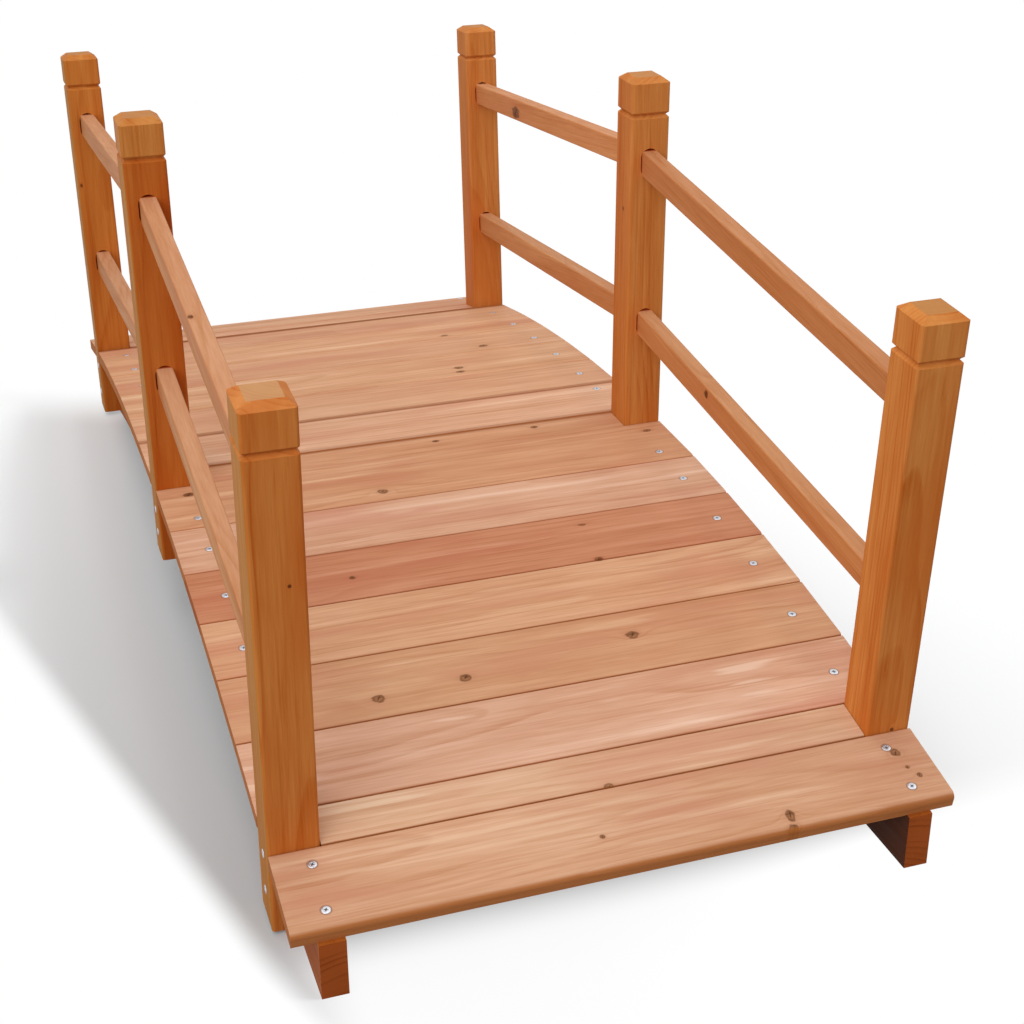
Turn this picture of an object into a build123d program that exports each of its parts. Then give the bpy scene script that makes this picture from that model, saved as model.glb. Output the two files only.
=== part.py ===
from build123d import *
import os
from math import asin, atan2, cos, degrees, radians, sin, tan

# Arched wooden garden footbridge, in millimetres.
# X runs across the bridge, Y along it from the near end to the far end, Z up from the floor.

# Whole bridge
bridge_length = 1420.0        # between the square-cut ends of a stringer
deck_width = 600.0            # length of a full deck board, across the bridge
crown_height = 152.0          # floor to the walking surface at mid-span
arch_rise = 83.0              # fall of the walking surface from mid-span to an end

# Deck
board_thickness = 14.0
board_gap = 1.6               # open joint between two boards
mid_joint_extra = 2.4         # the joint behind the mid posts is wider by this
board_edge_radius = 2.0       # eased long edges of every board
nosing_radius = 6.0           # rounded top front edge of an end board
end_board_width = 88.0
near_bay_boards = 5           # ordinary boards before the wide notched board
wide_board_share = 1.6        # width of the notched board over that of an ordinary near board
far_bay_boards = 6            # they share the far bay equally

# Posts
post_width = 45.0             # square section, outer face flush with the board ends
end_post_lean_angle = 3.5     # end posts lean outward, in degrees
post_height = 409.0           # deck to the top of a post
post_edge_radius = 3.0
cap_bevel_width = 8.0         # four-sided bevel of the post top
cap_bevel_height = 6.0
groove_drop = 41.0            # post top to the middle of the V-groove
groove_height = 7.0
groove_depth = 3.6
lap_thickness = 22.0          # tongue of the post outside the stringer

# Stringers
stringer_thickness = 23.0
stringer_depth = 74.0         # between the seat of the boards and the arched underside, at mid-span
foot_length = 122.0           # flat foot under each end

# Rails
rail_thickness = 18.0
rail_height = 28.0
rail_edge_radius = 2.0
top_rail_drop = 92.5          # post top to the middle of the upper rail, along the post
bottom_rail_rise = 129.0      # deck to the middle of the lower rail
mortise_depth = 12.0
mortise_side_clearance = 1.5
mortise_end_clearance = 2.5   # above and below a rail

# Fits and cuts
notch_clearance = 0.6         # between a post and the boards round it
cut_overrun = 20.0

half_length = bridge_length / 2
half_width = deck_width / 2
half_post = post_width / 2
arch_radius = (half_length**2 + arch_rise**2) / (2 * arch_rise)
arch_centre_height = crown_height - arch_radius
deck_end_arc = arch_radius * asin(half_length / arch_radius)
end_post_arc = deck_end_arc - end_board_width - half_post
stringer_outer = half_width - lap_thickness
stringer_inner = stringer_outer - stringer_thickness
near_board_pitch = end_post_arc / (near_bay_boards + wide_board_share)
far_bay_start = half_post + mid_joint_extra
far_board_pitch = (end_post_arc - half_post - far_bay_start) / far_bay_boards
top_rail_rise = post_height - top_rail_drop


def arc_point(arc_length):
    """Point (Y, Z) on the walking surface, at an arc length from mid-span."""
    turn = arc_length / arch_radius
    return Vector(arch_radius * sin(turn), arch_centre_height + arch_radius * cos(turn))


def joint_arcs():
    """Arc lengths of the board edges, those before the wide joint and those after it."""
    bay_edge = end_post_arc - half_post
    post_front = end_post_arc + half_post
    near = [-deck_end_arc, -post_front]
    near += [-bay_edge + near_board_pitch * count for count in range(near_bay_boards + 1)]
    far = [far_bay_start + far_board_pitch * count for count in range(far_bay_boards + 1)]
    return near + [half_post], far + [post_front, deck_end_arc]


near_joints, far_joints = joint_arcs()
board_spans = list(zip(near_joints[:-1], near_joints[1:])) + list(zip(far_joints[:-1], far_joints[1:]))


def board_tilt(span):
    """Angle of a board from the horizontal, falling toward the far end when positive."""
    start, end = span
    return (start + end) / 2 / arch_radius


def underside_point(arc_length, tilt):
    """Point on the underside of a board of that tilt, below its edge at an arc length."""
    edge = arc_point(arc_length)
    return Vector(edge.X - board_thickness * sin(tilt), edge.Y - board_thickness * cos(tilt))


def seat_point(left_span, right_span):
    """Point where the undersides of two neighbouring boards meet."""
    left, right = board_tilt(left_span), board_tilt(right_span)
    left_edge = underside_point(left_span[1], left)
    step = underside_point(right_span[0], right) - left_edge
    reach = (step.X * sin(right) + step.Y * cos(right)) / sin(right - left)
    return left_edge + Vector(reach * cos(left), -reach * sin(left))


def seat_line():
    """Seats of all boards on a stringer as one chain of points, from the near end to the far end."""
    inner = [seat_point(left, right) for left, right in zip(board_spans[:-1], board_spans[1:])]
    first, last = inner[0], inner[-1]
    near_fall = (half_length + first.X) * tan(-board_tilt(board_spans[0]))
    far_fall = (half_length - last.X) * tan(board_tilt(board_spans[-1]))
    near_end = Vector(-half_length, first.Y - near_fall)
    far_end = Vector(half_length, last.Y - far_fall)
    return [near_end] + inner + [far_end]


def profile_prism(face, start, end):
    """Side-view face (local Y, Z) made solid between two places across the bridge."""
    return Pos(start, 0, 0) * extrude(Plane.YZ * face, end - start)


def make_stringer():
    """Side beam: flat seats on top, square ends on two flat feet, arched underside between them."""
    near_foot = Vector(foot_length - half_length, 0)
    far_foot = Vector(half_length - foot_length, 0)
    crown = Vector(0, crown_height - board_thickness - stringer_depth)
    outline = Polyline(
        near_foot,
        Vector(-half_length, 0),
        *seat_line(),
        Vector(half_length, 0),
        far_foot,
    )
    face = make_face(outline + ThreePointArc(far_foot, crown, near_foot))
    return profile_prism(face, stringer_inner, stringer_outer)


def make_lap_cut():
    """Everything under the seats in the thickness of a stringer and inside it, taken off a post."""
    seats = seat_line()
    below = -cut_overrun
    outline = Polyline(Vector(seats[0].X, below), *seats, Vector(seats[-1].X, below), close=True)
    return profile_prism(make_face(outline), stringer_inner - cut_overrun, stringer_outer)


def post_frame(side, arc_length):
    """Place of a post: origin on its axis at deck level, Z along it, on the +X or -X side."""
    foot = arc_point(arc_length)
    lean = 0 if arc_length == 0 else -end_post_lean_angle * arc_length / abs(arc_length)
    return Pos(side * (half_width - half_post), foot.X, foot.Y) * Rot(X=lean)


def face_cut(outline):
    """Profile (outward, upward) cut along all four sides of a post."""
    side_cut = extrude(Plane.XZ * make_face(Polyline(*outline, close=True)), post_width, both=True)
    return [Rot(Z=90 * quarter) * side_cut for quarter in range(4)]


def make_post_blank(depth_below):
    """Upright post before its mortises: eased edges, V-groove all round and bevelled top."""
    height = post_height + depth_below
    blank = Pos(0, 0, -depth_below) * Box(
        post_width, post_width, height, align=(Align.CENTER, Align.CENTER, Align.MIN)
    )
    blank = fillet(blank.edges().filter_by(Axis.Z), post_edge_radius)
    groove_middle = post_height - groove_drop
    groove = [
        (half_post - groove_depth, groove_middle),
        (half_post, groove_middle + groove_height / 2),
        (half_post + cut_overrun, groove_middle + groove_height / 2),
        (half_post + cut_overrun, groove_middle - groove_height / 2),
        (half_post, groove_middle - groove_height / 2),
    ]
    bevel_slope = cap_bevel_height / cap_bevel_width
    bevel = [
        (half_post - cap_bevel_width - cut_overrun, post_height + cut_overrun * bevel_slope),
        (half_post + cut_overrun, post_height - cap_bevel_height - cut_overrun * bevel_slope),
        (half_post + cut_overrun, post_height + cut_overrun),
    ]
    return blank - face_cut(groove) - face_cut(bevel)


def rail_ends(side, bay, rise):
    """End points of a rail's middle line, on the axes of the two posts it joins."""
    mid = post_frame(side, 0) * Pos(0, 0, rise)
    end = post_frame(side, bay * end_post_arc) * Pos(0, 0, rise)
    return end.position, mid.position


def make_rail_bar(side, bay, rise):
    """Rail as a plain bar from post axis to post axis, long edges eased."""
    end, mid = rail_ends(side, bay, rise)
    run = mid - end
    section = RectangleRounded(rail_thickness, rail_height, rail_edge_radius)
    return extrude(Plane(origin=end, x_dir=(1, 0, 0), z_dir=run) * section, run.length)


def make_mortise(side, bay, rise, arc_length):
    """Round-ended slot in the face of a post that looks into the bay, cut square to that face."""
    end, mid = rail_ends(side, bay, rise)
    rail_slope = atan2(mid.Z - end.Z, abs(mid.Y - end.Y))
    at_mid = arc_length == 0
    toward = bay if at_mid else -bay
    slope_on_face = -rail_slope if at_mid else rail_slope - radians(end_post_lean_angle)
    height = rise + (half_post - mortise_depth / 2) * tan(slope_on_face)
    floor = Plane(
        origin=(0, toward * (half_post - mortise_depth), height), x_dir=(1, 0, 0), z_dir=(0, toward, 0)
    )
    slot = SlotOverall(
        rail_height + 2 * mortise_end_clearance,
        rail_thickness + 2 * mortise_side_clearance,
        rotation=90,
    )
    return extrude(floor * slot, mortise_depth + cut_overrun)


def make_post(side, arc_length, lap_cut):
    """Whole post in its place: mortised for its rails and lapped over the stringer."""
    post = make_post_blank(board_thickness + stringer_depth)
    bays = [-1, 1] if arc_length == 0 else [arc_length / abs(arc_length)]
    for bay in bays:
        for rise in (top_rail_rise, bottom_rail_rise):
            post -= make_mortise(side, bay, rise, arc_length)
    return post_frame(side, arc_length) * post - mirrored(lap_cut, side)


def make_post_clearance(side, arc_length):
    """Space that the boards keep clear round a post."""
    width = post_width + 2 * notch_clearance
    return post_frame(side, arc_length) * Box(width, width, post_height)


def ease_top_edge(board, edge_index, radius):
    """Round one long top edge of a board: the near one is first (0), the far one last (-1)."""
    top_edges = board.edges().filter_by(Axis.X).group_by(Axis.Z)[-1].sort_by(Axis.Y)
    return fillet(top_edges[edge_index], radius)


def make_board(span, length, near_radius=board_edge_radius, far_radius=board_edge_radius):
    """Deck board on its chord of the arch, its long top edges rounded by the given radii."""
    start, end = span
    middle = (arc_point(start) + arc_point(end)) / 2
    width = (arc_point(end) - arc_point(start)).length - board_gap
    board = Box(length, width, board_thickness, align=(Align.CENTER, Align.CENTER, Align.MAX))
    board = ease_top_edge(board, 0, near_radius)
    board = ease_top_edge(board, -1, far_radius)
    return Pos(0, middle.X, middle.Y) * Rot(X=-degrees(board_tilt(span))) * board


def mirrored(solid, side):
    """The solid as made on the +X side, or its mirror image on the -X side."""
    return solid if side > 0 else mirror(solid, Plane.YZ)


def make_bridge():
    """All pieces of the bridge by name."""
    sides = {"left": -1, "right": 1}
    stations = {"near": -end_post_arc, "mid": 0, "far": end_post_arc}
    bays = {"near": -1, "far": 1}
    rises = {"top": top_rail_rise, "bottom": bottom_rail_rise}
    pieces = {}

    stringer = make_stringer()
    for side_name, side in sides.items():
        pieces[f"stringer_{side_name}"] = mirrored(stringer, side)

    lap_cut = make_lap_cut()
    for side_name, side in sides.items():
        for station, arc_length in stations.items():
            pieces[f"post_{station}_{side_name}"] = make_post(side, arc_length, lap_cut)

    for side_name, side in sides.items():
        for bay_name, bay in bays.items():
            end_post = pieces[f"post_{bay_name}_{side_name}"]
            mid_post = pieces[f"post_mid_{side_name}"]
            for level, rise in rises.items():
                bar = make_rail_bar(side, bay, rise)
                pieces[f"rail_{level}_{bay_name}_{side_name}"] = bar - end_post - mid_post

    short_length = deck_width - 2 * (post_width + notch_clearance)
    post_spaces = [make_post_clearance(side, arc) for side in sides.values() for arc in stations.values()]
    boards = [make_board(span, deck_width) for span in board_spans]
    boards[0] = make_board(board_spans[0], deck_width, near_radius=nosing_radius)
    boards[-1] = make_board(board_spans[-1], deck_width, far_radius=nosing_radius)
    for index in (1, -2):
        boards[index] = make_board(board_spans[index], short_length)
    for number, board in enumerate(boards, start=1):
        pieces[f"deck_board_{number:02d}"] = board - post_spaces
    return pieces


os.makedirs("parts", exist_ok=True)
for name, piece in make_bridge().items():
    export_step(piece, f"parts/{name}.step")
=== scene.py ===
from math import asin, atan2, cos, pi, radians, sin
import bpy
import numpy as np
from mathutils import Matrix, Vector


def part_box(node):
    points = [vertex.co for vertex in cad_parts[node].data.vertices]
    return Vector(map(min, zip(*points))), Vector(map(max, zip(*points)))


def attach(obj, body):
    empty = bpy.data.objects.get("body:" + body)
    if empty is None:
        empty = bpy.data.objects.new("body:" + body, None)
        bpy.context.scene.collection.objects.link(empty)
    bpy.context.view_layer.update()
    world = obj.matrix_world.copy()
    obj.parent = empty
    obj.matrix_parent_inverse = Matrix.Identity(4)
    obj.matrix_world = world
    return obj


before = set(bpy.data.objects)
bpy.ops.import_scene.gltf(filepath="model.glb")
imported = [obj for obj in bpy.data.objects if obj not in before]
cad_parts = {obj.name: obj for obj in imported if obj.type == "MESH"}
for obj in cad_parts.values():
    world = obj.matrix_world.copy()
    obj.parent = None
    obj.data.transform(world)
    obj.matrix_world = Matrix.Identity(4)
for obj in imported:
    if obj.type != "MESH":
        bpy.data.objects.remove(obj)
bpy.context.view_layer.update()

# Arched garden footbridge, in metres: X across, Y along it, Z up from the floor.
ARCH_RADIUS = 3.0782  # of the walking surface
POST_LEAN = radians(3.5)  # outward, of the end posts
CAP_HEIGHT = 0.041  # from the top of a post down to the groove under its cap
MORTISE_HALF_WIDTH = 0.0105
END_BOARDS = (1, 16)  # the two with a rounded nosing
SCREW_LINE = 0.2665  # deck screws go down into the middle of a stringer
DECK_SCREW_RISE = 0.0006  # of the head over the wood
POST_SCREW_RISE = 0.0008
ACROSS, THROUGH = "Y", "Z"  # the two ways off the grain, as axes of a piece of timber
PLAIN = (1.0, 1.0, 1.0)  # no tint


class Val:
    """A value in a node tree. Arithmetic on it adds Math nodes."""

    def __init__(self, nodes, socket):
        self.nodes = nodes
        self.socket = socket

    def out(self, name):
        """Another output of the same node."""
        return Val(self.nodes, self.socket.node.outputs[name])

    def math(self, operation, first, second):
        return self.nodes.node("ShaderNodeMath", {"operation": operation}, {0: first, 1: second})

    def __add__(self, other):
        return self.math("ADD", self, other)

    def __sub__(self, other):
        return self.math("SUBTRACT", self, other)

    def __rsub__(self, other):
        return self.math("SUBTRACT", other, self)

    def __mul__(self, other):
        return self.math("MULTIPLY", self, other)

    def __truediv__(self, other):
        return self.math("DIVIDE", self, other)

    def __rtruediv__(self, other):
        return self.math("DIVIDE", other, self)

    def __pow__(self, other):
        return self.math("POWER", self, other)

    __radd__ = __add__
    __rmul__ = __mul__


class Nodes:
    """A node tree. One method adds its nodes, and the others call it."""

    def __init__(self, tree):
        self.tree = tree

    def node(self, kind, settings=None, sockets=None, output=0):
        """A node of a kind: its settings are set first, then the values or links of its sockets."""
        made = self.tree.nodes.new(kind)
        for key, value in (settings or {}).items():
            setattr(made, key, value)
        for key, value in (sockets or {}).items():
            self.put(made.inputs[key], value)
        return Val(self, made.outputs[output])

    def put(self, socket, value):
        if isinstance(value, Val):
            self.tree.links.new(value.socket, socket)
        else:
            socket.default_value = value

    def one(self, operation, value):
        return self.node("ShaderNodeMath", {"operation": operation}, {0: value})

    def size(self, value):
        """The value without its sign."""
        return self.one("ABSOLUTE", value)

    def length(self, first, second):
        return self.one("SQRT", first * first + second * second)

    def step(self, value, start, end):
        """0 before start, 1 after end, smooth between; start may be the larger."""
        return self.node(
            "ShaderNodeMapRange", {"interpolation_type": "SMOOTHSTEP"},
            {"Value": value, "From Min": start, "From Max": end},
        )

    def clamp(self, value, low=0.0, high=1.0):
        return self.node("ShaderNodeClamp", None, {"Value": value, "Min": low, "Max": high})

    def mix(self, share, first, second, blend="MIX"):
        return self.node(
            "ShaderNodeMix", {"data_type": "RGBA", "blend_type": blend}, {0: share, 6: first, 7: second}, 2
        )

    def dot(self, vector, axis):
        """How far a vector reaches along an axis."""
        return self.node(
            "ShaderNodeVectorMath", {"operation": "DOT_PRODUCT"}, {0: vector, 1: tuple(axis)}, "Value"
        )

    def noise(self, place, stretch, shift, detail=2.0, roughness=0.5):
        """Smooth noise whose cells are 1 / stretch long in each direction."""
        moved = self.node(
            "ShaderNodeVectorMath", {"operation": "MULTIPLY_ADD"}, {0: place, 1: stretch, 2: shift}
        )
        return self.node(
            "ShaderNodeTexNoise", None,
            {"Vector": moved, "Scale": 1.0, "Detail": detail, "Roughness": roughness},
        )

    def seen(self):
        """1 for what the camera sees, also in a mirror or through glass, and 0 for light on its way."""
        rays = self.node("ShaderNodeLightPath", output="Is Camera Ray")
        return self.clamp(rays + rays.out("Is Glossy Ray") + rays.out("Is Transmission Ray"))


class Finish(Nodes):
    """One material and its node tree."""

    def __init__(self, name):
        self.material = bpy.data.materials.new(name)
        self.material.use_nodes = True
        super().__init__(self.material.node_tree)
        self.shader = self.tree.nodes["Principled BSDF"]

    def set(self, **sockets):
        for key, value in sockets.items():
            self.put(self.shader.inputs[key.replace("_", " ")], value)


def colour(red, green, blue):
    return (red, green, blue, 1.0)


def blended(first, second, share):
    """A colour that lies the given share of the way from the first to the second."""
    return tuple((1 - share) * one + share * other for one, other in zip(first, second))


def node_points(name):
    """Points of a piece of the frame, one row each."""
    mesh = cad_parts[name].data
    points = np.empty(len(mesh.vertices) * 3, np.float32)
    mesh.vertices.foreach_get("co", points)
    return points.reshape(-1, 3).astype(float)


class Timber:
    """Where a piece lies: its middle, its half sizes and its axes along, across and through the grain."""

    def __init__(self, name, grain, across):
        self.axes = np.array([grain, across, np.cross(grain, across)], float)
        spread = node_points(name) @ self.axes.T
        low, high = spread.min(0), spread.max(0)
        self.half = (high - low) / 2
        self.centre = (low + high) / 2 @ self.axes
        self.turn = Matrix(self.axes.T.tolist()).to_euler("XYZ")

    def point(self, along, across, through):
        """A point in the frame, from its place on the axes of the piece."""
        return self.centre + np.array([along, across, through]) @ self.axes


def board_timber(name):
    """A board lies on a chord of the arch, with its grain across the bridge."""
    low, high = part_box(name)
    tilt = asin((low.y + high.y) / 2 / ARCH_RADIUS)
    return Timber(name, (1, 0, 0), (0, cos(tilt), -sin(tilt)))


def post_timber(name):
    """The grain of a post runs up it."""
    lean = {"near": -POST_LEAN, "mid": 0.0, "far": POST_LEAN}[name.split("_")[1]]
    return Timber(name, (0, sin(lean), cos(lean)), (1, 0, 0))


def rail_timber(name):
    """A rail rises towards the middle of the bridge, with its grain along it."""
    low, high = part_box(name)
    slope = atan2(high.z - low.z, high.y - low.y)
    rise = slope if "_near_" in name else -slope
    return Timber(name, (0, cos(rise), sin(rise)), (1, 0, 0))


def stringer_timber(name):
    """The grain of a stringer runs along the bridge."""
    return Timber(name, (0, 1, 0), (1, 0, 0))


# The stain on each kind of timber: planed face pale to deep, then its pinker and yellower parts, sawn
# edges, end grain, mortises and knots. The deck's planed-face shades add a painted sheen of the light
# from above to its stain; its sawn edges and ends show the stain alone.
MORTISE_RED = (0.620, 0.090, 0.012)
STAINS_AND_SHEEN = {
    "deck": {
        "pale": (0.760, 0.420, 0.245), "deep": (0.525, 0.215, 0.094), "rosy": (0.600, 0.240, 0.135),
        "straw": (0.830, 0.530, 0.325), "edge": (0.560, 0.165, 0.032), "end": (0.430, 0.130, 0.030),
        "knot_halo": (0.440, 0.165, 0.065), "knot": (0.15, 0.052, 0.019), "knot_heart": (0.38, 0.160, 0.066),
    },
    "post": {
        "pale": (0.665, 0.248, 0.052), "deep": (0.450, 0.098, 0.009), "rosy": (0.545, 0.135, 0.019),
        "straw": (0.690, 0.305, 0.082), "mortise": MORTISE_RED, "knot_halo": (0.340, 0.075, 0.010),
        "knot": (0.100, 0.024, 0.005), "knot_heart": (0.200, 0.050, 0.010),
    },
    "rail": {
        "pale": (0.690, 0.298, 0.114), "deep": (0.480, 0.147, 0.034), "rosy": (0.600, 0.210, 0.084),
        "straw": (0.750, 0.370, 0.150), "end": (0.480, 0.150, 0.030), "knot_halo": (0.380, 0.110, 0.030),
        "knot": (0.080, 0.020, 0.005), "knot_heart": (0.220, 0.065, 0.018),
    },
    "stringer": {
        "pale": (0.450, 0.125, 0.020), "deep": (0.290, 0.060, 0.006), "rosy": (0.350, 0.080, 0.014),
        "straw": (0.480, 0.150, 0.030), "end": (0.385, 0.084, 0.017), "end_deep": (0.200, 0.034, 0.005),
    },
}
KNOT_RIM = colour(0.14, 0.048, 0.018)
KNOT_CHECK = colour(0.06, 0.022, 0.010)
# Painted shade of a dark joint between two boards.
JOINT_PAINTED_SHADE = colour(0.27, 0.066, 0.016)
# Crushed wood round a screw head, with painted shade of its countersink.
SCREW_CUP_CRUSH_AND_SHADE = colour(0.20, 0.085, 0.04)
SAW_MARK = colour(0.14, 0.03, 0.006)

# How each kind grew: width of a ring and how fast the rings taper, then the contrast of the grain, and
# how strongly its growth rings, its fine grain and its pale flecks show.
GROWTH = {
    "deck": {"ring": 0.0046, "taper": 0.012, "contrast": 1.0, "figure": 0.40, "fine": 0.78, "flecks": 0.20},
    "post": {"ring": 0.0044, "taper": 0.024, "contrast": 1.1, "figure": 0.40, "fine": 0.66, "flecks": 0.10},
    "rail": {"ring": 0.0040, "taper": 0.014, "contrast": 0.9, "figure": 0.36, "fine": 0.80, "flecks": 0.20},
    "stringer": {"ring": 0.006, "taper": 0.010, "contrast": 0.9, "figure": 0.36, "fine": 0.9, "flecks": 0.0},
}

# Noise in the wood: cells to a metre along the grain and off it, which of a piece's two shifts moves it,
# its detail and its roughness.
LAYERS = {
    "wander": (1.7, 8.0, 0, 2.0, 0.50),
    "sway": (2.3, 7.0, 1, 2.0, 0.50),
    "ragged": (110.0, 230.0, 1, 2.0, 0.50),
    "fibre": (22.0, 520.0, 0, 2.0, 0.65),
    "streaks": (6.5, 170.0, 1, 3.0, 0.60),
    "bands": (1.6, 42.0, 0, 3.0, 0.55),
    "blotch": (4.0, 17.0, 1, 3.0, 0.50),
    "pores": (26.0, 760.0, 1, 1.0, 0.50),
    "lines": (5.0, 340.0, 0, 2.0, 0.50),
    "flecks": (7.0, 75.0, 1, 1.5, 0.50),
}
SHIFTS = np.array([(3.17, 1.73, 2.31), (2.31, 3.17, 1.73)])  # times the seed of a piece
PITH_WANDER = 0.034  # how far the pith line bends to and fro
KNOT_PUSH = 1.9  # how far a knot pushes the rings aside, in half widths of it
JOINT_LIP = 0.0015  # width of the darkest part of the painted shade along a joint
CUP_RIM, CUP_FLOOR = 0.0058, 0.0043  # radii between which the dark ring round a screw fades
EDGE_TURN, NOSING_TURN = (0.80, 0.98), (0.35, 0.85)  # how far a face turns to show as a sawn edge
END_TURN, CAP_TURN = (0.55, 0.90), (0.75, 0.97)  # how far a face turns to show end grain


class Wood(Finish):
    """Oil-stained softwood on one piece. Growth rings are cones round a pith line beside the piece, bent
    by slow noise and pushed aside round each knot. Fibres and pale streaks run along the grain. Each
    method lays a stain, a painted sheen or a painted shade over those before it."""

    def __init__(self, name, kind, timber, seed, tint=PLAIN):
        super().__init__(name)
        self.timber = timber
        self.seed = seed
        self.stain = {part: colour(*(np.array(shade) * tint)) for part, shade in STAINS_AND_SHEEN[kind].items()}
        self.growth = dict(GROWTH[kind])
        self.place = self.node("ShaderNodeTexCoord", output="Object")
        self.grain = self.node(
            "ShaderNodeMapping", {"vector_type": "TEXTURE"},
            {"Vector": self.place, "Location": timber.centre, "Rotation": timber.turn},
        )
        self.along = self.node("ShaderNodeSeparateXYZ", None, {0: self.grain})
        self.across, self.through = self.along.out(ACROSS), self.along.out(THROUGH)
        self.normal = self.node("ShaderNodeNewGeometry", output="Normal")
        self.end_on = self.dot(self.normal, timber.axes[0])
        self.dull = 0.0

    def layer(self, kind):
        """One layer of noise, drawn out along the grain."""
        along, off, shift, detail, roughness = LAYERS[kind]
        return self.noise(self.grain, (along, off, off), tuple(SHIFTS[shift] * self.seed), detail, roughness)

    def cover(self, share, shade):
        """Lays a shade over the wood."""
        self.wood = self.mix(share, self.wood, shade)

    def grow(self, pith, knots=()):
        """Growth rings and knots. Late wood deepens to the end of each ring, and some years have more."""
        side = self.across - pith[0] + (self.layer("wander") - 0.5) * PITH_WANDER
        depth = self.through - pith[1] + (self.layer("sway") - 0.5) * PITH_WANDER
        radius = self.length(side, depth) + self.along * self.growth["taper"]
        self.heart, self.rim, self.halo, self.check = 0.0, 0.0, 0.0, 0.0
        if knots:
            self.ragged = self.layer("ragged")
        for knot in knots:
            radius = radius + self.grow_knot(*knot)
        rings = radius / self.growth["ring"]
        year = self.one("FRACT", rings)
        vigour = self.node(
            "ShaderNodeTexNoise", {"noise_dimensions": "1D"},
            {"W": rings * 0.41 + self.seed, "Scale": 1.0, "Detail": 1.0},
        )
        self.late = year * year * year * (1.0 - year ** 16.0) * 1.3 * self.step(vigour, 0.30, 0.72)

    def grow_knot(self, along, beside, half_length, half_width, axis=ACROSS):
        """A heart inside a thin rim, with a check across it and a halo. Gives its push on the rings."""
        du = (self.along - along) / half_length
        dv = (self.along.out(axis) - beside) / half_width
        reach = self.length(du, dv) + (self.ragged - 0.5) * 1.1
        near = 1.0 / (1.0 + du * du * 0.12 + dv * dv * 0.30)
        near = near * near
        slit = self.step(self.size(du * 0.8 - dv * 0.45), 0.20, 0.06)
        self.heart = self.step(reach, 1.10, 0.75) + self.heart
        self.rim = self.step(reach, 0.70, 0.98) * self.step(reach, 1.35, 1.02) + self.rim
        self.halo = near * near + self.halo
        self.check = slit * self.step(reach, 0.80, 0.50) + self.check
        return near * (KNOT_PUSH * half_width)

    def face_stain_and_sheen(self):
        """Planed face: pale to deep by the grain, with pinker blotches and yellower streaks and flecks.
        The fine grain fades where a face is cut across it."""
        self.fibre = self.layer("fibre")
        self.streaks = self.layer("streaks")
        self.blotch = self.layer("blotch")
        self.pores = self.step(self.layer("pores"), 0.62, 0.74)
        bands = self.layer("bands")
        lines = self.step(self.layer("lines"), 0.56, 0.66)
        flecks = self.step(self.layer("flecks"), 0.64, 0.72)
        along_face = 1.0 - self.step(self.size(self.end_on), 0.35, 0.80) * 0.75
        fine = (self.fibre - 0.5) * 0.85 + (self.streaks - 0.5) * 0.85 + lines * 0.18 + self.pores * 0.10
        tone = self.late * self.growth["figure"] + fine * along_face * self.growth["fine"] + (bands - 0.5)
        tone = (tone + (self.blotch - 0.5) * 0.60) * self.growth["contrast"]
        self.tone = self.clamp(tone + 0.42)
        self.wood = self.mix(self.tone, self.stain["pale"], self.stain["deep"])
        self.cover(self.step(self.blotch, 0.48, 0.68) * 0.55, self.stain["rosy"])
        sappy = self.step(bands, 0.44, 0.30) * self.step(self.streaks, 0.60, 0.40)
        self.cover(sappy * 0.50, self.stain["straw"])
        self.cover(flecks * self.growth["flecks"], self.stain["straw"])

    def stain_side(self, axis, pale, deep, share):
        """A face towards one axis has its own shades: a stain of its own on the outside of each left post,
        a painted sheen on the top of each rail and a painted shade on the inner side of each stringer.
        """
        towards = self.step(self.dot(self.normal, axis), 0.6, 0.9)
        self.cover(towards * share, self.mix(self.tone, colour(*pale), colour(*deep)))

    def stain_cap(self, pale, deep):
        """The cap of a post has its own shades."""
        groove = self.timber.half[0] - CAP_HEIGHT
        on_cap = self.step(self.along, groove - 0.001, groove + 0.001)
        self.cover(on_cap, self.mix(self.tone, colour(*pale), colour(*deep)))

    def stain_knots(self):
        """Halo, heart, rim and check of every knot."""
        self.cover(self.clamp(self.halo * 0.55), self.stain["knot_halo"])
        grown = self.mix(self.step(self.ragged, 0.35, 0.65), self.stain["knot"], self.stain["knot_heart"])
        self.cover(self.clamp(self.heart) * 0.85, grown)
        self.cover(self.clamp(self.rim) * 0.66, KNOT_RIM)
        self.cover(self.clamp(self.check) * 0.70, KNOT_CHECK)

    def stain_joint(self, side, darkness, width):
        """Painted shade along one long edge of a board, where its joint shows as a dark line."""
        edge = self.timber.half[1]
        to_edge = self.step(self.across * side, edge - width, edge - JOINT_LIP)
        self.dull = to_edge + self.dull
        self.cover(to_edge * darkness, JOINT_PAINTED_SHADE)

    def crush_and_shade_cups(self, screw_across):
        """Darker round the two screws at one place across a board: crushed wood and painted shade of the
        countersink.
        """
        du = self.size(self.along) - SCREW_LINE
        dv = self.across - screw_across
        self.cover(self.step(du * du + dv * dv, CUP_RIM**2, CUP_FLOOR**2) * 0.55, SCREW_CUP_CRUSH_AND_SHADE)

    def stain_edges(self, turn):
        """Sawn edges take the stain deeper than the planed face, which on the deck also carries a painted
        sheen.
        """
        edge_on = self.size(self.dot(self.normal, self.timber.axes[1]))
        edge = self.stain["edge"]
        sawn = self.mix(self.tone, edge, blended(edge, SAW_MARK, 0.35))
        self.cover(self.step(edge_on, *turn) * 0.85, sawn)

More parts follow.
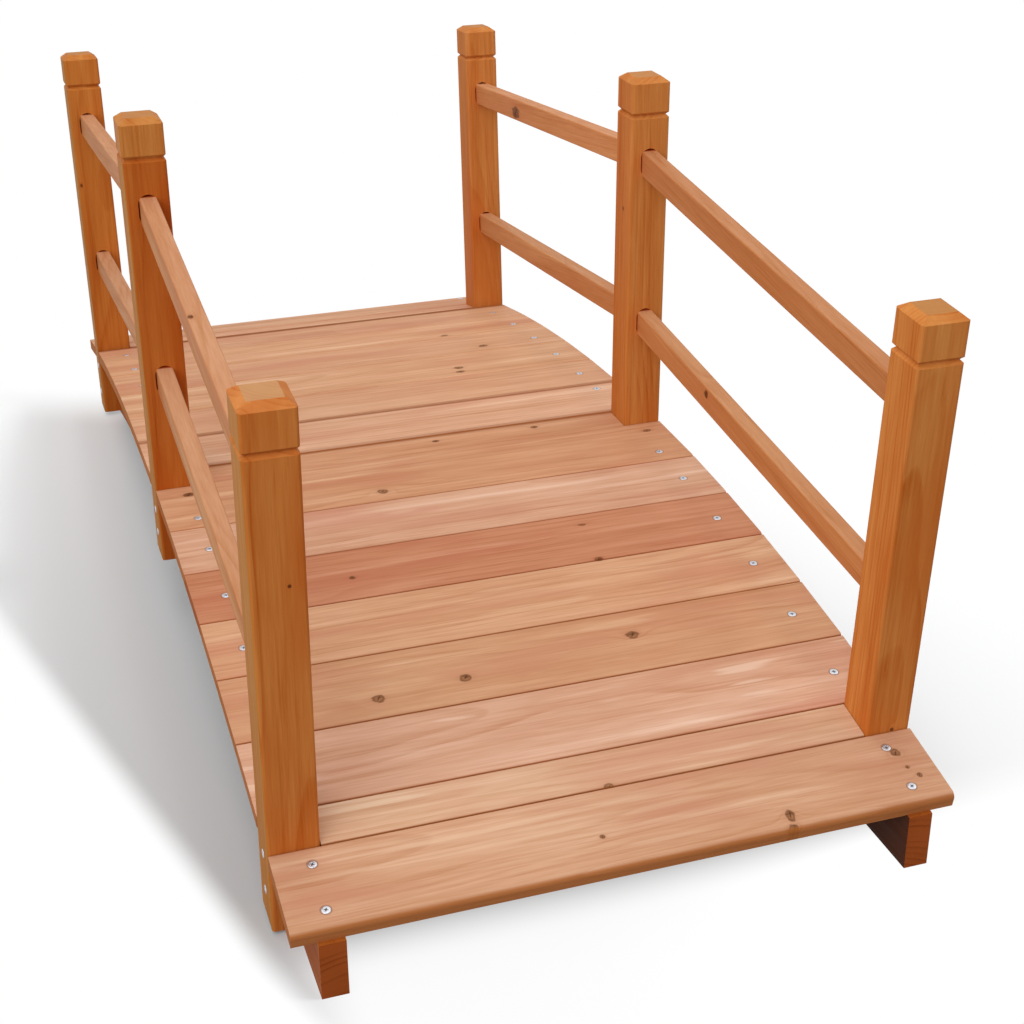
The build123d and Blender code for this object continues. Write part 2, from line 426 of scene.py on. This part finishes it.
    def stain_ends(self, turn, top_only=False):
        """End grain on both ends, or only on the top, with darker rings."""
        end = self.stain["end"]
        end_deep = self.stain.get("end_deep", blended(end, self.stain["deep"], 0.40))
        self.end_grain = self.step(self.end_on if top_only else self.size(self.end_on), *turn)
        ring_mark = self.clamp(self.late * 0.8 + (self.blotch - 0.5) * 0.9)
        self.cover(self.end_grain * 0.9, self.mix(ring_mark, end, end_deep))

    def redden(self, inside, red):
        """Stains the inside of a joint and takes off its sheen."""
        self.cover(inside * 0.92, red)
        self.dull = inside + self.dull

    def redden_mortises(self):
        """The slots in a post, which all lie under its cap, are dark red inside."""
        under_cap = self.timber.half[0] - 0.050
        face = self.timber.half[2]
        within = self.step(self.size(self.across), MORTISE_HALF_WIDTH + 0.0020, MORTISE_HALF_WIDTH + 0.0010)
        inside = within * self.step(self.size(self.through), face - 0.0002, face - 0.0006)
        self.redden(inside * self.step(self.along, under_cap, under_cap - 0.004), self.stain["mortise"])

    def redden_tenon(self, post):
        """A rail is dark red inside a post that it is let into."""
        depth = self.dot(self.place, post.axes[2]) - float(post.centre @ post.axes[2])
        inside = self.step(self.size(depth), post.half[2] + 0.0002, post.half[2] - 0.0004)
        self.redden(inside, colour(*MORTISE_RED))

    def done(self):
        """Sets the shader: rougher on streaks, on end grain and inside joints, with the relief of the grain.
        Gives the material."""
        relief = self.late * -0.5 + self.streaks * 0.5 + self.fibre * 0.4 - self.pores * 0.3
        bump = self.node("ShaderNodeBump", None, {"Strength": 0.22, "Distance": 0.0006, "Height": relief})
        roughness = 0.54 + (self.streaks - 0.5) * 0.25 + self.late * -0.06
        self.set(
            Base_Color=self.wood,
            Roughness=self.clamp(roughness + self.end_grain * 0.15 + self.dull * 0.45),
            Normal=bump,
            Specular_IOR_Level=0.04,
        )
        return self.material


def zinc_screw():
    """Zinc-plated steel, mottled by noise, dull down in the cross recess, which is painted dark: painted
    shade.
    """
    finish = Finish("zinc_screw")
    place = finish.node("ShaderNodeTexCoord", output="Object")
    recess = finish.node("ShaderNodeAttribute", {"attribute_name": "recess"}, output="Fac")
    mottle = finish.noise(place, (900.0, 900.0, 900.0), (0.0, 0.0, 0.0), 3.0)
    plate = finish.mix(mottle, colour(0.44, 0.45, 0.49), colour(0.68, 0.69, 0.73))
    finish.set(
        # Painted shade down in the cross recess.
        Base_Color=finish.mix(recess, plate, colour(0.05, 0.05, 0.055)),
        Roughness=finish.clamp(0.28 + mottle * 0.25 + recess * 0.3),
        Metallic=finish.clamp(0.95 - recess * 0.6),
    )
    return finish.material


def screw_head(proud):
    """One cross-recessed screw head, a polar grid closed at both poles: the height over a disc is a
    shallow dome that falls away at the rim, less the depth of two crossed slots, and the rim goes down
    to a point under the surface. Gives its points, its faces and how deep in the recess each point is."""
    ring_count, turn_count = 15, 40
    head_radius, point_depth = 0.0042, 0.0025
    slot_half_width, slot_side = 0.00058, 0.00022
    slot_half_length, slot_end = 0.0020, 0.0005
    slot_depth = 0.85 * proud
    share = np.linspace(0.0, 1.0, ring_count + 1)[1:, None]
    angle = np.linspace(0.0, 2 * pi, turn_count, endpoint=False)[None, :]
    x = head_radius * share * np.cos(angle)
    y = head_radius * share * np.sin(angle)
    long_way = np.maximum(np.abs(x), np.abs(y))
    short_way = np.minimum(np.abs(x), np.abs(y))
    cross = np.clip((slot_half_width - short_way) / slot_side, 0, 1)
    cross = cross * np.clip((slot_half_length - long_way) / slot_end, 0, 1)
    dome = proud * (1 - 0.35 * share**2 - 0.65 * share**10)
    top = np.stack([x, y, dome - slot_depth * cross], 2).reshape(-1, 3)
    middle = [[0.0, 0.0, proud - slot_depth]]
    bottom = [[0.0, 0.0, -point_depth]]
    head = np.vstack([middle, top, bottom])
    depth = np.concatenate([[1.0], cross.ravel(), [0.0]])

    turn = np.arange(turn_count)
    after = (turn + 1) % turn_count
    start = 1 + turn_count * np.arange(ring_count - 1)[:, None]
    quads = np.stack([start + turn, start + turn_count + turn, start + turn_count + after, start + after], 2)
    quads = quads.reshape(-1, 4)
    last = 1 + turn_count * (ring_count - 1)
    fan_top = np.stack([np.zeros_like(turn), 1 + turn, 1 + after], 1)
    fan_bottom = np.stack([np.full_like(turn, len(head) - 1), last + after, last + turn], 1)
    return head, (quads, fan_top, fan_bottom), depth


def screw_heads(name, seats, proud, material):
    """A screw head on each seat, turned at random by up to a quarter."""
    head, head_faces, depth = screw_head(proud)
    chance = np.random.default_rng(7)
    points, faces = [], []
    for count, (place, axes) in enumerate(seats):
        spin = chance.uniform(0, pi / 2)
        spun = np.array([[cos(spin), sin(spin), 0], [-sin(spin), cos(spin), 0], [0, 0, 1]])
        points.append(place + head @ spun @ axes)
        for part in head_faces:
            faces += (part + count * len(head)).tolist()
    mesh = bpy.data.meshes.new(name)
    mesh.from_pydata(np.vstack(points).tolist(), [], faces)
    mesh.attributes.new("recess", "FLOAT", "POINT").data.foreach_set("value", np.tile(depth, len(seats)))
    mesh.polygons.foreach_set("use_smooth", np.ones(len(faces), bool))
    mesh.materials.append(material)
    piece = bpy.data.objects.new(name, mesh)
    bpy.context.scene.collection.objects.link(piece)
    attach(piece, "root")


def dress(name, material):
    """Puts one finish on every face of a piece of the frame."""
    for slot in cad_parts[name].material_slots:
        slot.material = material


# Each board: its tint, where its pith lies across it and through it, its knots (along it, across it, half
# length and half width) and where its screws sit across it. The paler tints of the far bay, boards 9 to
# 16, are partly a painted sheen that grows towards the far end.
BOARDS = {
    1: ((0.98, 1.05, 1.14), (0.03, -0.07), [
        (0.2718, 0.0170, 0.0042, 0.0040), (0.2741, -0.0016, 0.0018, 0.0018),
        (0.2800, -0.0132, 0.0022, 0.0024), (0.1451, -0.0281, 0.0034, 0.0060),
        (0.1423, -0.0425, 0.0042, 0.0040), (-0.0225, -0.0086, 0.0021, 0.0021),
    ], (0.025, -0.024)),
    2: ((1.08, 1.28, 1.46), (-0.06, -0.05), [(0.0037, -0.0223, 0.0042, 0.0034)], ()),
    3: ((1.08, 1.20, 1.45), (0.02, -0.12), [], (-0.0034,)),
    4: ((1.01, 1.07, 1.10), (-0.03, -0.09), [
        (0.0998, 0.0075, 0.0056, 0.0046), (-0.0763, -0.0120, 0.0050, 0.0042),
        (-0.1624, -0.0196, 0.0050, 0.0046),
    ], (-0.0033,)),
    5: ((1.06, 1.13, 1.19), (0.05, -0.06), [(0.1143, 0.0465, 0.0040, 0.0026)], (-0.0036,)),
    6: ((0.89, 0.75, 0.74), (-0.05, -0.10), [
        (0.1143, -0.0440, 0.0040, 0.0028), (-0.1384, -0.0077, 0.0028, 0.0026),
        (0.1208, 0.0246, 0.0040, 0.0018),
    ], (-0.0034,)),
    7: ((1.08, 1.20, 1.43), (0.04, -0.08), [], (-0.0026,)),
    8: ((0.99, 0.98, 0.97), (-0.02, -0.10), [
        (-0.0628, -0.0518, 0.0054, 0.0046), (0.2752, 0.0067, 0.0042, 0.0030),
        (-0.2672, 0.0072, 0.0052, 0.0042), (0.0295, 0.0565, 0.0034, 0.0024),
        (0.1513, 0.0581, 0.0040, 0.0030),
    ], (-0.052,)),
    9: ((1.17, 1.32, 1.52), (0.06, -0.05), [], (0.028,)),
    10: ((1.12, 1.21, 1.30), (-0.04, -0.09), [], (-0.003,)),
    11: ((1.12, 1.20, 1.24), (0.03, -0.07), [
        (0.1293, -0.0134, 0.0052, 0.0042), (0.1267, -0.0310, 0.0052, 0.0036),
    ], (-0.007,)),
    12: ((1.11, 1.17, 1.22), (-0.06, -0.06), [(0.1907, -0.0197, 0.0056, 0.0044)], (-0.010,)),
    13: ((1.16, 1.23, 1.26), (0.04, -0.11), [(0.1587, -0.0332, 0.0050, 0.0038)], (-0.012,)),
    14: ((1.13, 1.21, 1.26), (-0.03, -0.08), [], (-0.008,)),
    15: ((1.15, 1.22, 1.29), (0.05, -0.07), [], ()),
    16: ((1.13, 1.19, 1.24), (-0.02, -0.09), [(-0.1900, 0.0120, 0.0046, 0.0040)], (-0.025, 0.024)),
}
# Painted shade along the edges of some boards, where their joints show as dark lines: which edge, near
# (-1) or far (1), how dark and how wide.
DARK_JOINTS = {
    8: [(1, 0.6, 0.007)], 9: [(-1, 0.4, 0.007), (1, 0.75, 0.007)], 10: [(-1, 0.5, 0.007)],
    14: [(1, 0.9, 0.013)], 15: [(-1, 0.8, 0.007)],
}
# Boards with more pale flecks than the others.
FLECKED = {2: 0.40, 3: 0.60}


def dress_boards():
    """Finishes of the deck boards. Gives the place and axes of each deck screw."""
    seats = []
    for number, (tint, pith, knots, screws) in BOARDS.items():
        name = f"deck_board_{number:02d}"
        timber = board_timber(name)
        wood = Wood(name, "deck", timber, seed=number * 1.37, tint=tint)
        wood.growth["flecks"] = FLECKED.get(number, wood.growth["flecks"])
        wood.grow(pith, knots)
        wood.face_stain_and_sheen()
        if knots:
            wood.stain_knots()
        for joint in DARK_JOINTS.get(number, ()):
            wood.stain_joint(*joint)
        for screw_across in screws:
            wood.crush_and_shade_cups(screw_across)
            for side in (-1, 1):
                seats.append((timber.point(side * SCREW_LINE, screw_across, timber.half[2]), timber.axes))
        wood.stain_edges(NOSING_TURN if number in END_BOARDS else EDGE_TURN)
        wood.stain_ends(END_TURN)
        dress(name, wood.done())
    return seats


# Each post: its tint, where its pith lies across it and through it, the end grain on its top, and its
# knots (along it, beside it, half length, half width and the axis on which they are beside it).
POSTS = {
    "post_near_left": ((1.08, 1.08, 1.24), (0.018, 0.030), (0.545, 0.285, 0.130), [
        (0.0930, 0.0085, 0.0013, 0.0012, ACROSS),
    ]),
    "post_near_right": ((1.14, 1.22, 1.50), (-0.012, 0.045), (0.495, 0.225, 0.075), [
        (-0.1626, 0.0043, 0.0018, 0.0017, ACROSS),
    ]),
    "post_mid_left": ((0.87, 0.70, 0.60), (0.030, 0.038), (0.500, 0.230, 0.085), []),
    "post_mid_right": ((1.05, 1.08, 1.30), (-0.034, 0.030), (0.540, 0.250, 0.095), [
        (0.099, -0.003, 0.0020, 0.0018, THROUGH),
    ]),
    "post_far_left": ((0.93, 0.89, 0.85), (0.016, 0.050), (0.520, 0.240, 0.090), [
        (0.077, -0.0180, 0.0022, 0.0018, ACROSS),
    ]),
    "post_far_right": ((1.10, 1.18, 1.55), (-0.020, 0.040), (0.540, 0.250, 0.095), []),
}
# The outside of each left post is a yellower shade.
YELLOW_SIDE = ((-1, 0, 0), (0.560, 0.240, 0.045), (0.440, 0.155, 0.024), 0.90)
# The middle left post is dark below a paler cap.
PALE_CAPS = {"post_mid_left": ((0.665, 0.290, 0.076), (0.450, 0.115, 0.013))}
# Heights of the two screws through the outside of each post into its stringer.
POST_SCREWS = {"near": (0.0735, 0.0340), "mid": (0.1180, 0.0900), "far": (0.0680, 0.0300)}


def post_screw_seats(name, timber):
    """Place and axes of each screw on the outside of a post."""
    station, side = name.split("_")[1:]
    outward = (-1, 0, 0) if side == "left" else (1, 0, 0)
    axes = np.array([timber.axes[2], np.cross(outward, timber.axes[2]), outward], float)
    climbs = [(height - timber.centre[2]) / timber.axes[0][2] for height in POST_SCREWS[station]]
    return [(timber.point(climb, outward[0] * timber.half[1], 0.0), axes) for climb in climbs]


def dress_posts():
    """Finishes of the posts. Gives the place and axes of each post screw."""
    seats = []
    for count, (name, (tint, pith, cap_end, knots)) in enumerate(POSTS.items()):
        timber = post_timber(name)
        wood = Wood(name, "post", timber, seed=30 + count * 2.11, tint=tint)
        wood.stain["end"] = colour(*cap_end)
        wood.grow(pith, knots)
        wood.face_stain_and_sheen()
        if name.endswith("left"):
            wood.stain_side(*YELLOW_SIDE)
        if name in PALE_CAPS:
            wood.stain_cap(*PALE_CAPS[name])
        if knots:
            wood.stain_knots()
        wood.stain_ends(CAP_TURN, top_only=True)
        wood.redden_mortises()
        dress(name, wood.done())
        seats += post_screw_seats(name, timber)
    return seats


# Knots on the top of a rail (placed across it) or on its inner side (placed down through it).
RAIL_KNOTS = {
    "rail_top_near_left": [(-0.0034, -0.0060, 0.0034, 0.0021, ACROSS)],
    "rail_top_far_right": [(0.1125, -0.0016, 0.0120, 0.0066, THROUGH)],
    "rail_bottom_near_right": [(0.0874, -0.0022, 0.0038, 0.0038, THROUGH)],
}
LEFT_RAIL_TINT = (1.03, 1.10, 1.25)
RIGHT_RAIL_TINTS = {"rail_top_far_right": (1.12, 1.15, 1.22), "rail_top_near_right": (0.97, 0.96, 0.98)}
# The top of a rail is painted paler than its sides, a painted sheen of the light from above: its pale and
# deep shades.
RAIL_TOP_PAINTED_SHEEN = np.array([(0.660, 0.338, 0.178), (0.460, 0.172, 0.059)])


def dress_rails():
    """Finishes of the rails."""
    for count, name in enumerate(sorted(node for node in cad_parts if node.startswith("rail_"))):
        bay, side = name.split("_")[2:]
        tint = LEFT_RAIL_TINT if side == "left" else RIGHT_RAIL_TINTS.get(name, PLAIN)
        pith = (0.030 - 0.008 * count, 0.06)
        knots = RAIL_KNOTS.get(name, ())
        timber = rail_timber(name)
        wood = Wood(name, "rail", timber, seed=60 + count * 1.91, tint=tint)
        wood.grow(pith, knots)
        wood.face_stain_and_sheen()
        # Painted sheen on the top face of the rail.
        wood.stain_side(-timber.axes[2], *(RAIL_TOP_PAINTED_SHEEN * tint), share=0.80)
        if knots:
            wood.stain_knots()
        wood.stain_ends(END_TURN)
        for station in ("mid", bay):
            wood.redden_tenon(post_timber(f"post_{station}_{side}"))
        dress(name, wood.done())


# The inner side of a stringer, in the shade under the deck, is painted nearly black: painted shade. Its pale
# and deep shades.
STRINGER_INSIDE_PAINTED_SHADE = ((0.075, 0.017, 0.004), (0.045, 0.010, 0.002))


def dress_stringers():
    """Finishes of the stringers."""
    for count, name in enumerate(("stringer_left", "stringer_right")):
        inward = (1 - 2 * count, 0, 0)
        pith = (0.02 - 0.05 * count, 0.16)
        wood = Wood(name, "stringer", stringer_timber(name), seed=90 + count * 4.3)
        wood.grow(pith)
        wood.face_stain_and_sheen()
        # Painted shade on the inner side of the stringer, which lies under the deck.
        wood.stain_side(inward, *STRINGER_INSIDE_PAINTED_SHADE, share=0.95)
        wood.stain_ends(END_TURN)
        dress(name, wood.done())


FLOOR_HALF = 20.0
FLOOR_SEEN = colour(0.675, 0.690, 0.695)
FLOOR_BOUNCE = colour(0.19, 0.19, 0.19)  # what it sends back up to the bridge
WHITE = colour(1, 1, 1)


def white_places(finish, right, back):
    """1 where the floor is plain white, painted over the bridge's shadow: in front of the bridge, and past
    the left, far and right edges of the shade beside it, which are painted edges. The left and far edges
    slant."""
    from_shade = finish.length(right + 0.30, back + 0.35)
    in_front = finish.step(back, -0.58, -0.69) * finish.step(right, -0.33, -0.24) * 0.92
    past_left = finish.step(right + back * 0.254, -0.460, -0.494)
    past_far = finish.step(back + right * 0.49, 0.38, 0.54)
    past_right = finish.step(from_shade, 0.38, 1.20) * finish.step(right, -0.25, 0.05)
    return finish.clamp(in_front + past_left + past_far + past_right)


def floor_white():
    """The camera sees the floor grey in the bridge's shadow to its left, deepened by painted shade towards
    the near end, and white elsewhere, which paints the shadow out past painted edges. A duller grey is what
    it sends back up to the bridge. From below it is clear."""
    finish = Finish("floor_white")
    seen = finish.seen()
    place = finish.node("ShaderNodeTexCoord", output="Object")
    right = finish.node("ShaderNodeSeparateXYZ", None, {0: place})
    back = right.out("Y")
    # Painted shade: the floor's colour darkens towards the near end, deepening the bridge's shadow there.
    shade = finish.clamp(back * 0.45 + 1.12, 0.75, 1.4)
    pale = finish.mix(1.0, FLOOR_SEEN, shade, "MULTIPLY")
    finish.set(Base_Color=finish.mix(seen, FLOOR_BOUNCE, pale), Roughness=0.9, Specular_IOR_Level=0.0)
    lit = Val(finish, finish.shader.outputs["BSDF"])
    glow = finish.node("ShaderNodeEmission", None, {"Color": WHITE, "Strength": 1.0})
    clear = finish.node("ShaderNodeBsdfTransparent")
    white = seen * white_places(finish, right, back)
    camera_rays = finish.node("ShaderNodeLightPath", output="Is Camera Ray")
    from_below = camera_rays * finish.node("ShaderNodeNewGeometry", output="Backfacing")
    above = finish.node("ShaderNodeMixShader", None, {0: white, 1: lit, 2: glow})
    whole = finish.node("ShaderNodeMixShader", None, {0: from_below, 1: above, 2: clear})
    finish.put(finish.tree.nodes["Material Output"].inputs["Surface"], whole)
    return finish.material


def ground_floor():
    """Flat square floor under the bridge."""
    corners = FLOOR_HALF * np.array([[-1, -1, 0], [1, -1, 0], [1, 1, 0], [-1, 1, 0]])
    mesh = bpy.data.meshes.new("floor")
    mesh.from_pydata(corners.tolist(), [], [(0, 1, 2, 3)])
    mesh.materials.append(floor_white())
    floor = bpy.data.objects.new("floor", mesh)
    bpy.context.scene.collection.objects.link(floor)
    return floor


SKY_LEVEL = 0.40  # strength of the light from all round, where 1 is what the camera sees


def studio_sky():
    """Even pale light from all round; the camera and mirror rays see plain white."""
    world = bpy.data.worlds.new("studio_sky")
    world.use_nodes = True
    bpy.context.scene.world = world
    sky = Nodes(world.node_tree)
    back = sky.tree.nodes["Background"]
    sky.put(back.inputs["Color"], WHITE)
    sky.put(back.inputs["Strength"], sky.seen() * (1.0 - SKY_LEVEL) + SKY_LEVEL)


# Each lamp: its place, what it is aimed at, its size and its power in watts.
SOFT_BOXES = {
    "right_softbox": ((2.9, -0.2, 2.3), (0, 0, 0.1), 2.4, 22.0),
    "top_softbox": ((0.0, 0.4, 3.2), (0, 0.1, 0.1), 2.6, 30.0),
    "front_left_softbox": ((-2.5, -2.5, 2.6), (0, 0, 0.2), 4.0, 108.0),
    "floor_softbox": ((2.6, -1.6, 2.3), (0, 0, 0.0), 1.2, 102.0),
}


def soft_box(name):
    """A square lamp that faces its aim."""
    place, aim, size, watts = SOFT_BOXES[name]
    lamp = bpy.data.lights.new(name, "AREA")
    lamp.size = size
    lamp.energy = watts
    box = bpy.data.objects.new(name, lamp)
    box.location = place
    box.rotation_euler = (Vector(aim) - Vector(place)).to_track_quat("-Z", "Y").to_euler()
    bpy.context.scene.collection.objects.link(box)
    return box


def light_floor_alone(lamp, floor):
    """Keeps one lamp off the bridge, so that the bridge's shadow falls to its left."""
    lit_floor = bpy.data.collections.new("lit_floor")
    lit_floor.objects.link(floor)
    lamp.light_linking.receiver_collection = lit_floor


EYE = (-0.47798, -1.81305, 0.98632)
HEADING, TILT, ROLL = 18.2841, 26.1861, -0.2866  # degrees: right of +Y, down, and round the view
FOCAL_PIXELS, PICTURE_WIDTH = 1762.4, 1024
SENSOR_WIDTH = 36.0  # millimetres


def photo_camera():
    """Camera at the viewpoint solved from the straight edges of the bridge."""
    lens = bpy.data.cameras.new("photo_camera")
    lens.sensor_width = SENSOR_WIDTH
    lens.lens = SENSOR_WIDTH * FOCAL_PIXELS / PICTURE_WIDTH
    lens.clip_end = 100.0
    eye = bpy.data.objects.new("photo_camera", lens)
    aim = Matrix.Rotation(radians(-HEADING), 4, "Z") @ Matrix.Rotation(radians(90 - TILT), 4, "X")
    eye.matrix_world = Matrix.Translation(EYE) @ aim @ Matrix.Rotation(radians(ROLL), 4, "Z")
    bpy.context.scene.collection.objects.link(eye)
    bpy.context.scene.camera = eye


deck_seats = dress_boards()
post_seats = dress_posts()
dress_rails()
dress_stringers()
zinc = zinc_screw()
screw_heads("deck_screws", deck_seats, DECK_SCREW_RISE, zinc)
screw_heads("post_screws", post_seats, POST_SCREW_RISE, zinc)

floor = ground_floor()
studio_sky()
lamps = {name: soft_box(name) for name in SOFT_BOXES}
light_floor_alone(lamps["floor_softbox"], floor)
photo_camera()
bpy.context.scene.view_settings.view_transform = "Standard"

bpy.context.view_layer.update()
